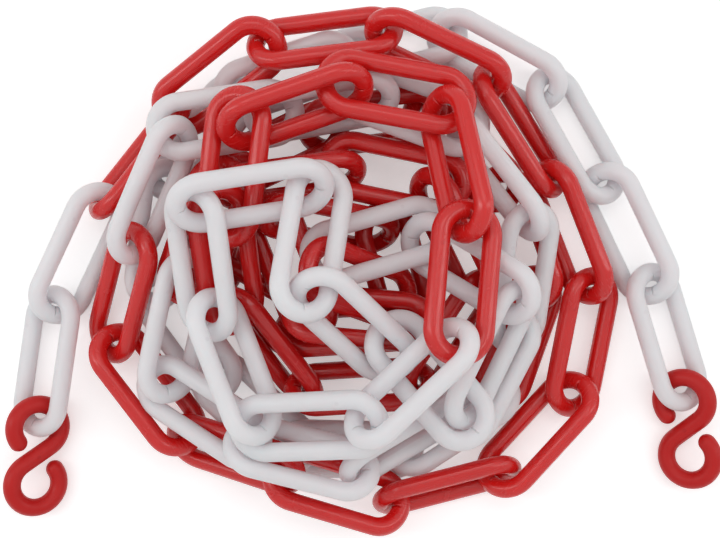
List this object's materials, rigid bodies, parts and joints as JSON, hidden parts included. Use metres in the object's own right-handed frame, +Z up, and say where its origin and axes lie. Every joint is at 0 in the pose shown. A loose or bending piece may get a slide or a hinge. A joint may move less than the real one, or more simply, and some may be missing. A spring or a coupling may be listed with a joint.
{
  "type": "plastic barrier chain",
  "caption": "Red and white plastic barrier chain of oval links, coiled in a heap, with both ends free and an S-hook on each end",
  "frame": {"origin": "on the floor under the middle of the heap's bounding box", "axes": "+X from the left tail to the right tail, the longest way across; +Y away from the two hooks; +Z up from the floor"},
  "size_m": [0.2332, 0.1724, 0.0568],
  "materials": {
    "red_plastic": "semi-gloss moulded polyethylene, red all through",
    "white_plastic": "semi-gloss moulded polyethylene, milky white all through"
  },
  "bodies": {
    "coil": {"left_tail_link_03": "red_plastic", "outer_turn_link_04": "red_plastic", "outer_turn_link_05": "red_plastic", "outer_turn_link_06": "red_plastic", "outer_turn_link_07": "red_plastic", "outer_turn_link_08": "red_plastic", "outer_turn_link_09": "red_plastic", "outer_turn_link_10": "red_plastic", "outer_turn_link_11": "red_plastic", "outer_turn_link_12": "red_plastic", "outer_turn_link_13": "red_plastic", "outer_turn_link_14": "red_plastic", "outer_turn_link_15": "red_plastic", "second_turn_link_16": "white_plastic", "second_turn_link_17": "white_plastic", "second_turn_link_18": "white_plastic", "second_turn_link_19": "white_plastic", "second_turn_link_20": "white_plastic", "second_turn_link_21": "white_plastic", "second_turn_link_22": "white_plastic", "second_turn_link_23": "white_plastic", "second_turn_link_24": "white_plastic", "second_turn_link_25": "white_plastic", "second_turn_link_26": "white_plastic", "third_turn_links_27_29": "red_plastic", "third_turn_links_30_32": "red_plastic", "third_turn_links_33_35": "red_plastic", "top_strand_link_36": "red_plastic", "top_strand_link_37": "red_plastic", "top_strand_link_38": "red_plastic", "top_strand_link_39": "red_plastic", "top_strand_link_40": "white_plastic", "top_strand_link_41": "white_plastic", "top_strand_link_42": "white_plastic", "top_strand_link_43": "white_plastic", "top_strand_link_44": "white_plastic", "top_strand_link_45": "white_plastic", "top_strand_link_46": "white_plastic", "top_strand_link_47": "white_plastic", "top_strand_link_48": "white_plastic", "top_strand_link_49": "white_plastic", "top_strand_link_50": "white_plastic", "centre_drop_links_51_52": "red_plastic", "centre_drop_links_53_54": "red_plastic", "centre_drop_links_55_56": "red_plastic", "floor_turn_links_57_59": "red_plastic", "floor_turn_links_60_62": "red_plastic", "floor_turn_link_63": "red_plastic", "floor_turn_links_64_66": "white_plastic", "floor_turn_links_67_69": "white_plastic", "floor_turn_links_70_72": "white_plastic"},
    "left_tail_link_02": {"left_tail_link_02": "white_plastic"},
    "left_tail_link_01": {"left_tail_link_01": "white_plastic"},
    "left_hook": {"left_hook": "red_plastic"},
    "right_tail_link_73": {"right_tail_link_73": "white_plastic"},
    "right_tail_link_74": {"right_tail_link_74": "white_plastic"},
    "right_tail_link_75": {"right_tail_link_75": "white_plastic"},
    "right_hook": {"right_hook": "red_plastic"}
  },
  "joints": [
    {"name": "left_link_02_lift", "type": "hinge", "parent": "coil", "child": "left_tail_link_02", "pos_m": [-0.08631, 0.01687, 0.01008], "axis": [-0.5557, 0.3238, -0.7657], "range_deg": [0, 80]},
    {"name": "left_link_01_lift", "type": "hinge", "parent": "left_tail_link_02", "child": "left_tail_link_01", "pos_m": [-0.0984, -0.00831, 0.00821], "axis": [-0.5557, 0.3238, -0.7657], "range_deg": [0, 80]},
    {"name": "left_hook_lift", "type": "hinge", "parent": "left_tail_link_01", "child": "left_hook", "pos_m": [-0.10628, -0.05263, 0.00719], "axis": [-0.5184, 0.0354, -0.8544], "range_deg": [0, 100]},
    {"name": "right_link_73_lift", "type": "hinge", "parent": "coil", "child": "right_tail_link_73", "pos_m": [0.05587, 0.06054, 0.00852], "axis": [-0.3192, -0.5548, 0.7683], "range_deg": [0, 80]},
    {"name": "right_link_74_lift", "type": "hinge", "parent": "right_tail_link_73", "child": "right_tail_link_74", "pos_m": [0.08062, 0.02347, 0.0072], "axis": [-0.4719, -0.2233, 0.8529], "range_deg": [0, 80]},
    {"name": "right_link_75_lift", "type": "hinge", "parent": "right_tail_link_74", "child": "right_tail_link_75", "pos_m": [0.0926, -0.00184, 0.0072], "axis": [-0.4719, -0.2233, 0.8529], "range_deg": [0, 80]},
    {"name": "right_hook_lift", "type": "hinge", "parent": "right_tail_link_75", "child": "right_hook", "pos_m": [0.10512, -0.04383, 0.00718], "axis": [-0.5171, -0.0674, 0.8533], "range_deg": [0, 100]}
  ]
}
